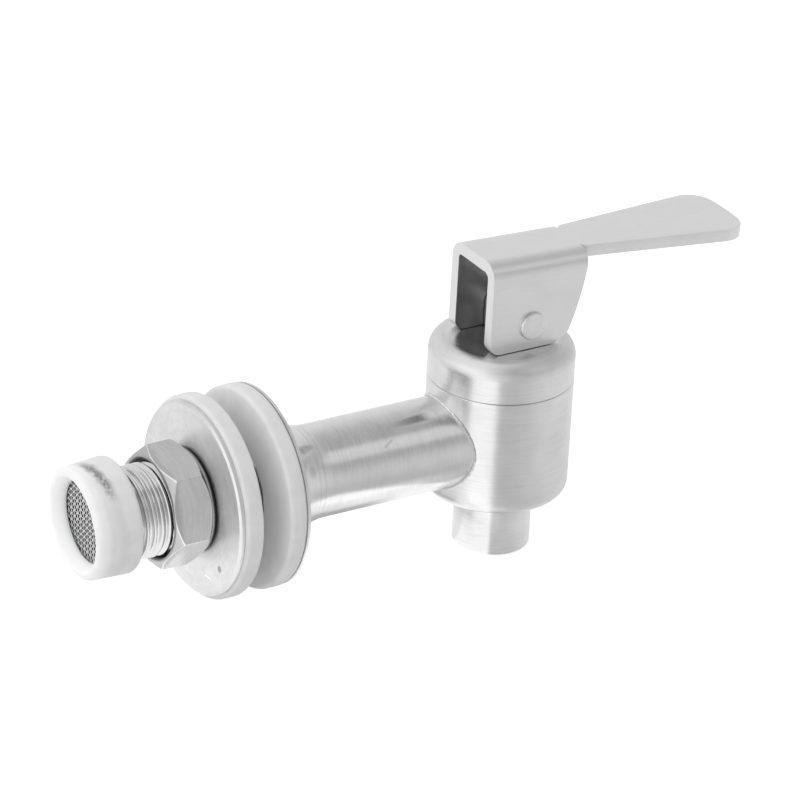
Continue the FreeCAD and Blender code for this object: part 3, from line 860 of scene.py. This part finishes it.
# %% [markdown]
# A plain weave is two families of wires, and each wire waves over and under the ones that it
# crosses. With pitch p, wire number k has the height a cos(pi s / p + pi k) at the distance s
# along it, and the other family has the same wave turned over, so they touch and never cross.
# %% The woven mesh
wire_pitch, wire_r, wire_sides, wire_steps = 0.8, 0.09, 6, 100
mesh_middle = cap_lip + mesh_play / 2 + mesh_thick / 2
diagonal = [(side_up + side_near) / math.sqrt(2), (side_near - side_up) / math.sqrt(2)]
reach = int((mesh_r - 0.3) / wire_pitch)
wire = np.arange(-reach, reach + 1)[:, None]
half_length = np.sqrt(mesh_r ** 2 - (wire * wire_pitch) ** 2)
along_wire = np.linspace(-1, 1, wire_steps)[None, :] * half_length


def weave_family(run, step, sign):
    """Points of all the wires that run one way: wires by steps by sides by 3."""
    phase = np.pi * along_wire / wire_pitch + np.pi * wire
    height = sign * wire_r * np.cos(phase)
    slope = -sign * wire_r * np.sin(phase) * np.pi / wire_pitch
    middle = (cap_origin + mesh_middle * lean + along_wire[..., None] * run
              + (wire * wire_pitch + 0 * along_wire)[..., None] * step + height[..., None] * lean)
    lift = unit(lean - slope[..., None] * run)
    return round_wire(middle, lift, step, wire_r, wire_sides)


per_wire = wire_steps * wire_sides
starts = np.arange(len(wire))[:, None, None] * per_wire
weave_faces = (grid_faces(wire_steps, wire_sides, False, True)[None] + starts).reshape(-1, 4)
first_ends = np.arange(wire_sides)[None, ::-1] + starts[:, 0]
last_ends = np.arange(per_wire - wire_sides, per_wire)[None] + starts[:, 0]
weave_ends = np.concatenate([first_ends, last_ends]).tolist()
weave_finish = Finish("drawn_wire")
weave_grain = weave_finish.noise(weave_finish.vector(*weave_finish.place()), 6.0, 2.0)
mesh_steel = weave_finish.close({
    "Base Color": weave_finish.ramp(weave_grain, [(0.3, 0.7), (0.7, 0.9)]),
    "Metallic": 1.0,
    "Roughness": 0.25 + weave_grain * 0.2,
})
for name, family, nodes in (("mesh_wires_rising", (*diagonal, 1), ["strainer_mesh"]),
                            ("mesh_wires_falling", (*diagonal[::-1], -1), [])):
    wires = make_piece(name, weave_family(*family), weave_faces, 80.0, True, weave_ends)
    dress(wires, "body", "mesh_steel", mesh_steel, *nodes)

# %% [markdown]
# The lever is one sheet, folded along two lines and cut to shape, so its outer skin is a
# table of points: rows run round the fold, from the foot of one cheek over the web to the
# foot of the other, and columns run from back to front. Each cheek is a Coons patch: a blend
# of its four edges, P = (1-s) top + s foot + (1-c) back + c front, less the same blend of the
# four corners.
# %% The lever's folded channel
lever_half, sheet_thick, fold_r = 6.65, 2.05, 3.0
lever_slope = math.radians(2.33)
pin_x, pin_z, foot_z = barrel_x + 1.4, 21.9, bonnet_z[1] + 0.1
front_x, foot_corner, cam_arm, front_bulge = barrel_x + 12.0, 2.0, 3.4, 0.45
web_half = lever_half - fold_r
columns, cheek_rows, web_rows = 72, 34, 15


def coons(top, foot, back, front):
    """Coons patch of two edges along (top, foot) and two across (back, front)."""
    s = np.linspace(0, 1, len(back))[:, None, None]
    c = np.linspace(0, 1, len(top))[None, :, None]
    edges = (1 - s) * top[None] + s * foot[None] + (1 - c) * back[:, None] + c * front[:, None]
    corners = (1 - s) * ((1 - c) * top[0] + c * top[-1]) + s * ((1 - c) * foot[0] + c * foot[-1])
    return edges - corners


def spaced(points, count):
    """Points at equal steps along a polyline."""
    points = np.asarray(points, float)
    gone = np.concatenate([[0], np.cumsum(np.linalg.norm(np.diff(points, axis=0), axis=1))])
    step = np.linspace(0, gone[-1], count)
    return table(*(np.interp(step, gone, column) for column in points.T))


def lever_place(x, w):
    """World z of the point at world x and height w above the leaned web plane."""
    along = (x - lever_back - w * math.sin(lever_slope)) / math.cos(lever_slope)
    return web_top - along * math.sin(lever_slope) + w * math.cos(lever_slope)


def cam_point(angle):
    """The cheek's edge stays one cam arm ahead of the pin, so the stem rises by arm times angle."""
    drop = pin_z - foot_z + cam_arm * angle
    ahead = cam_arm * np.cos(angle) + drop * np.sin(angle)
    below = cam_arm * np.sin(angle) - drop * np.cos(angle)
    return table(pin_x + ahead, pin_z + below)


cam = cam_point(np.linspace(0, math.radians(45), 40))
corner_arc = np.linspace(np.pi, 1.5 * np.pi, 16)
foot_line = np.concatenate([
    table(lever_back + foot_corner + foot_corner * np.cos(corner_arc),
              foot_z + foot_corner + foot_corner * np.sin(corner_arc)), cam])
nose = foot_line[-1]
front_low = np.array([front_x, web_top - sheet_thick])
front_share = np.linspace(0, 1, 40)[:, None]
chord = front_low - nose
outwards = unit(np.array([chord[1], -chord[0]]))
front_bow = nose + chord * front_share + front_bulge * 4 * front_share * (1 - front_share) * outwards
top_reach = np.interp(lever_place(front_x, -fold_r), front_bow[:, 1], front_bow[:, 0])
top_x = np.linspace(lever_back, top_reach, columns)
top_line = table(top_x, lever_place(top_x, -fold_r))
foot_edge = spaced(foot_line, columns)
back_edge = spaced([top_line[0], foot_line[0]], cheek_rows)
top_front = top_line[-1]
front_edge = front_bow[::-1]
front_edge = np.vstack([[top_front], front_edge[front_edge[:, 1] < top_front[1]]])
front_edge = spaced(front_edge, cheek_rows)
cheek = coons(top_line, foot_edge, back_edge, front_edge)
fold_turn = np.linspace(0, np.pi / 2, 9)[1:-1, None]
fold_y = -web_half - fold_r * np.cos(fold_turn)
fold_w = -fold_r + fold_r * np.sin(fold_turn)
web_y = np.linspace(-web_half, web_half, web_rows)[:, None]


def channel_rows(y, w):
    """Rows along the lever at the heights w, each as long as the front edge's bow allows."""
    rise = lever_place(front_x, w)
    reach = np.interp(rise, front_bow[:, 1], front_bow[:, 0])
    x = lever_back + (reach - lever_back) * np.linspace(0, 1, columns)[None, :]
    return table(x, y, lever_place(x, w))


near_cheek = table(cheek[..., 0], -lever_half, cheek[..., 1])[::-1]
near_fold = channel_rows(fold_y, fold_w)
web = channel_rows(web_y, 0 * web_y)
far_side = np.array([1, -1, 1])
channel = np.concatenate([
    near_cheek, near_fold, web, near_fold[::-1] * far_side, near_cheek[::-1] * far_side])
web_first = cheek_rows + len(fold_turn)
print("lever channel rows", len(channel), "columns", columns)

# %% [markdown]
# The paddle grows out of the web. Its outline is a narrow neck that widens to a rounded tip;
# split at the middle of the tip's corners, it gives the four edges of another Coons patch,
# and the patch's first edge is the web's last one, so the two join without a seam. The sheet
# gets its thickness at the end, and a fine bevel where it was cut.
# %% The lever's paddle
neck_u = (front_x - lever_back) / math.cos(lever_slope) - (barrel_x - lever_back)
tip_steps = 12
tip_middle = tip_steps // 2
tip = rounded_outline([
    (neck_u, -4.6, 0.01), (neck_u, -3.65, 0.01), (12.1, -3.65, 0.01), (12.9, -4.45, 0.7), (43.6, -8.3, 4.2),
    (44.15, 0.0, 43.0), (43.6, 8.3, 4.2), (12.9, 4.45, 0.7), (12.1, 3.65, 0.01), (neck_u, 3.65, 0.01),
    (neck_u, 4.6, 0.01), (5.0, 6.0, 0.01), (5.0, -6.0, 0.01)], tip_steps)
tip = tip.reshape(-1, tip_steps + 1, 2)
side_run = np.concatenate([[[neck_u, -web_half]], [tip[2, tip_middle]], tip[3], tip[4, :tip_middle + 1]])
tip_run = np.concatenate([tip[4, tip_middle:], tip[5], tip[6, :tip_middle + 1]])
paddle_columns = 90
near_side = spaced(side_run, paddle_columns)
neck_line = table(neck_u, web_y[:, 0])
paddle_flat = coons(near_side, near_side * np.array([1, -1]), neck_line, spaced(tip_run, web_rows))
paddle_u = paddle_flat[..., 0] + barrel_x - lever_back
paddle_x = lever_back + paddle_u * math.cos(lever_slope)
paddle = table(paddle_x, paddle_flat[..., 1], web_top - paddle_u * math.sin(lever_slope))
lever_points = np.concatenate([channel.reshape(-1, 3), paddle.reshape(-1, 3)])
lever_faces = np.concatenate([
    grid_faces(len(channel), columns), grid_faces(web_rows, paddle_columns) + len(channel) * columns])


def thickened(piece, thickness, edge):
    """Gives a skin its thickness inwards and rounds the cut edges, then keeps the result."""
    solid = piece.modifiers.new("thickness", "SOLIDIFY")
    solid.thickness, solid.offset, solid.use_even_offset = thickness * MM, -1, True
    bevel = piece.modifiers.new("edge", "BEVEL")
    bevel.width, bevel.segments, bevel.limit_method = edge * MM, 3, "ANGLE"
    bevel.angle_limit = math.radians(50)
    keep_result(piece, 40.0)


lever = make_piece("folded_lever", lever_points, lever_faces, 40.0, False)
middle_face = lever.data.polygons[(web_first + web_rows // 2) * (columns - 1) + columns // 2]
if middle_face.normal.z < 0:
    lever.data.flip_normals()
thickened(lever, sheet_thick, 0.2)


def channel_inside(x, y, z):
    """Painted shade on the inner faces of the two cheeks and of the web, where little light gets in."""
    inner_half = lever_half - sheet_thick
    deep = web_top - sheet_thick - (x - lever_back) * math.tan(lever_slope)
    beside = 1 - between(abs(y), inner_half, inner_half + 0.1)
    within = window(x, (lever_back + 0.1, lever_back + 0.3), (front_x, front_x + 0.2))
    return beside * within * (1 - between(z - deep, 0.0, 0.1))


dress(lever, "lever", "lever_steel", sheet_steel("lever_steel_satin", 0.76, 0.34, channel_inside), "lever")

# %% [markdown]
# A rivet holds the lever on the stem. Its two heads are low flat buttons with a small bevel,
# so its outline is a stepped bar turned about a line across the lever.
# %% The rivet
head_r, head_high, head_edge, rivet_r = 2.45, 0.65, 0.22, 1.5
head_face = lever_half + head_high
rivet_outline = rounded_outline([
    (-head_face, 0.02, 0.001), (-head_face, head_r, head_edge), (-lever_half, head_r, 0.03),
    (-lever_half, rivet_r, 0.03), (lever_half, rivet_r, 0.03), (lever_half, head_r, 0.03),
    (head_face, head_r, head_edge), (head_face, 0.02, 0.001)], 4)
rivet = turned("rivet", rivet_outline, (pin_x, 0, pin_z), (0, 1, 0), 64)
rivet_steel = turned_steel("rivet_steel", "y", (pin_x, pin_z), 0.76, 0.38, 2.0, 0.004)
dress(rivet, "lever", "lever_steel", rivet_steel, "pivot_pin")

# %% [markdown]
# Inside the barrel a soft cup closes the outlet and a spring holds it down. In the real tap they
# shorten as the stem rises, because their upper ends stay at the bonnet. The spring is a round
# wire on a helix: x = R cos t, y = R sin t, and z grows evenly with t.
# %% The seat cup and the spring
cup_top, spring_top, spring_low = 15.6, 15.46, -2.16
cup_waist, pocket_top, pocket_floor = -3.1, -4.05, -6.35
cup_outline = rounded_outline([
    (seat_z, 0.4, 0.1), (seat_z, 6.6, 0.8), (cup_waist, 7.0, 0.3), (neck_top, 8.9, 0.3), (neck_top, 10.7, 0.2),
    (cup_top, 10.7, 0.2), (cup_top, 7.9, 0.3), (cup_waist, 6.0, 0.3), (cup_waist, 2.7, 0.1),
    (pocket_top, 2.7, 0.1), (pocket_top, 3.85, 0.1), (pocket_floor, 3.85, 0.1), (pocket_floor, 0.4, 0.1)], 4)
cup = turned("seat_cup_bell", cup_outline, *barrel_line, 96)
dress(cup, "body", "silicone", silicone_plain, "seat_cup")
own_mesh(cup)

coil_r, coil_wire, coil_turns, coil_steps, coil_sides = 4.2, 0.4, 5.0, 240, 10
t = np.linspace(0, coil_turns * 2 * np.pi, coil_steps)
climb = (spring_top - spring_low - 2 * coil_wire) / (coil_turns * 2 * np.pi)
coil_z = spring_low + coil_wire + climb * t
coil_line = table(barrel_x + coil_r * np.cos(t), coil_r * np.sin(t), coil_z)
coil_out = table(np.cos(t), np.sin(t), 0)
coil_run = table(-coil_r * np.sin(t), coil_r * np.cos(t), climb)
coil_up = unit(np.cross(coil_out, coil_run))
coil_points = round_wire(coil_line, coil_out, coil_up, coil_wire, coil_sides)
coil_last = (coil_steps - 1) * coil_sides
coil_ends = [list(range(coil_sides - 1, -1, -1)), list(range(coil_last, coil_last + coil_sides))]
coil_faces = grid_faces(coil_steps, coil_sides, False, True)
spring = make_piece("coil_spring", coil_points, coil_faces, 60.0, True, coil_ends)
inner_steel = turned_steel("inner_steel_turned", "z", (barrel_x, 0.0), 0.62, 0.3)
dress(spring, "body", "inner_steel", inner_steel, "return_spring")
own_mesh(spring)
finish_node("spring_washer", inner_steel)
# The stem is given a dark grey: painted shade for where it sits between the lever's cheeks.
finish_node("stem", turned_steel("stem_steel_dull_painted_shade", "z", (barrel_x, 0.0), 0.3, 0.4))

# %% [markdown]
# A plain pale floor catches the shadow. It glows just enough towards the camera to merge with
# a white page. Steel is a mirror, so what it shows is the room: a wide bright screen on the
# left, a greyer right side, and a floor that is dim where it lies under the tube.
# %% Floor and surroundings
floor_mesh = bpy.data.meshes.new("studio_floor")
reach_m = 3.0
corners = [(-reach_m, -reach_m, 0), (reach_m, -reach_m, 0), (reach_m, reach_m, 0), (-reach_m, reach_m, 0)]
floor_mesh.from_pydata(corners, [], [(0, 1, 2, 3)])
floor = add_object("studio_floor", floor_mesh)
floor.location = (0, 0, (barrel_z[0] - 0.1) * MM)
bright = 1.25


def compass(finish, east, north):
    """How bright the room is by direction, in degrees from -Y towards +X: a wide screen on the left."""
    levels = [(-180, 0.93), (-115, 0.95), (-105, 1.2), (-38, 1.22), (-31, 0.58), (-18, 0.6), (0, 0.64),
              (27, 0.74), (45, 0.8), (67, 0.82), (120, 0.88), (180, 0.93)]
    share = finish.math("ARCTAN2", east, north * -1.0) / (2 * math.pi) + 0.5
    return finish.ramp(share, [((turn + 180) / 360, level / bright) for turn, level in levels]) * bright


ground = Finish("pale_floor")
seen = ground.node("ShaderNodeLightPath").output.node.outputs
straight, mirrored = Signal(ground, seen["Is Camera Ray"]), Signal(ground, seen["Is Glossy Ray"])
x, y, z = ground.place()
far = length(x - barrel_x, y)
near_spout = (1 - between(far, 8.0, 26.0)) * 0.25
under_tube = window(y, (-6.0, -1.0), (45.0, 60.0)) * window(x, (16.0, 24.0), (52.0, 60.0))
under_tube = under_tube * between(far, 14.0, 20.0)
before_tube = window(y, (-28.0, -20.0), (-15.0, -12.0)) * window(x, (0.0, 10.0), (42.0, 50.0)) * 0.25
screen = most(compass(ground, x - barrel_x, y) - 0.6, 0.0)
screen = screen * (1 - under_tube) + near_spout + before_tube
matt = ground.node("ShaderNodeBsdfDiffuse", None, {"Color": (0.8, 0.8, 0.8, 1)})
page_light = straight * 0.62 + mirrored * screen
page = ground.node("ShaderNodeEmission", None, {"Color": page_light, "Strength": 1.0})
lit = ground.node("ShaderNodeAddShader", None, {0: matt, 1: page})
ground.node("ShaderNodeOutputMaterial", None, {"Surface": lit})
floor_mesh.materials.append(ground.material)

room = Finish("soft_room", "worlds")
bpy.context.scene.world = room.material
east, north, sky = room.split(room.node("ShaderNodeTexCoord", output=0))
ahead = room.ramp(sky, [
    (0.0, 1.0), (0.13, 0.9), (0.34, 0.68), (0.5, 0.7), (0.77, 0.72), (0.86, 0.6), (1.0, 0.62)])
behind = room.ramp(sky, [(0.0, 1.0), (0.45, 0.97), (0.76, 0.74), (0.86, 0.62), (1.0, 0.62)])
level = compass(room, east, north) * room.mixed(between(north, 0.0, 0.35), ahead, behind)
backdrop = most(level, room.node("ShaderNodeLightPath", output=0))
glow = room.node("ShaderNodeBackground", None, {"Color": backdrop, "Strength": 1.0})
room.node("ShaderNodeOutputWorld", None, {"Surface": glow})
print("floor at z mm", round(barrel_z[0] - 0.1, 2), "in", room.material.name)

# %% [markdown]
# One large soft lamp on the left gives the bright sides, a weaker one on the right keeps the
# shaded sides open, and a third stands high behind. Each lamp looks at the middle of the tap.
# %% Lamps
target = np.array([25.0, 0.0, 5.0])


def towards(azimuth, height):
    """Unit vector at an azimuth, from -Y towards +X, and a height, both in degrees."""
    a, h = math.radians(azimuth), math.radians(height)
    return np.array([math.sin(a) * math.cos(h), -math.cos(a) * math.cos(h), math.sin(h)])


def stand(thing, right, over, back, spot):
    """Turns an object to three unit vectors and puts it at a place in millimetres."""
    rows = [[right[k], over[k], back[k], spot[k] * MM] for k in range(3)]
    thing.matrix_world = Matrix(rows + [[0, 0, 0, 1]])


def lamp(name, azimuth, height, distance, size, watts):
    """Square lamp at an azimuth and a height in degrees and a distance in millimetres."""
    back = towards(azimuth, height)
    data = bpy.data.lights.new(name, "AREA")
    data.shape, data.size, data.energy = "SQUARE", size * MM, watts
    made = add_object(name, data)
    stand(made, *across(back), back, target + back * distance)
    made.visible_camera = False
    print(name, "at", distance, "mm")


lamp("key_softbox", -80, 22, 700, 700, 0.75)
lamp("fill_softbox", 41, 42, 800, 340, 0.11)
lamp("top_softbox", -150, 75, 800, 700, 0.8)

# %% [markdown]
# The camera stands where the photograph was taken from: a long way off with a long lens.
# B points from the tap back to the camera, R to its right and U up, after a small roll.
# %% Camera
roll = math.radians(3.2048)
away, shift_right, shift_up = 1017.7447, -16.4365, 4.6932
B = towards(-32.7296, 26.5443)
right = unit(np.cross([0, 0, 1], B))
over = np.cross(B, right)
R = right * math.cos(roll) + over * math.sin(roll)
U = -right * math.sin(roll) + over * math.cos(roll)
eye = bpy.data.cameras.new("photo_camera")
eye.lens, eye.sensor_width, eye.clip_start, eye.clip_end = 270.0, 36.0, 0.01, 20.0
camera = add_object("photo_camera", eye)
stand(camera, R, U, B, np.array([barrel_x, 0, 0]) + shift_right * R + shift_up * U + away * B)
bpy.context.scene.camera = camera
bpy.context.scene.view_settings.view_transform = "Standard"
print("camera", round(away), "mm away")
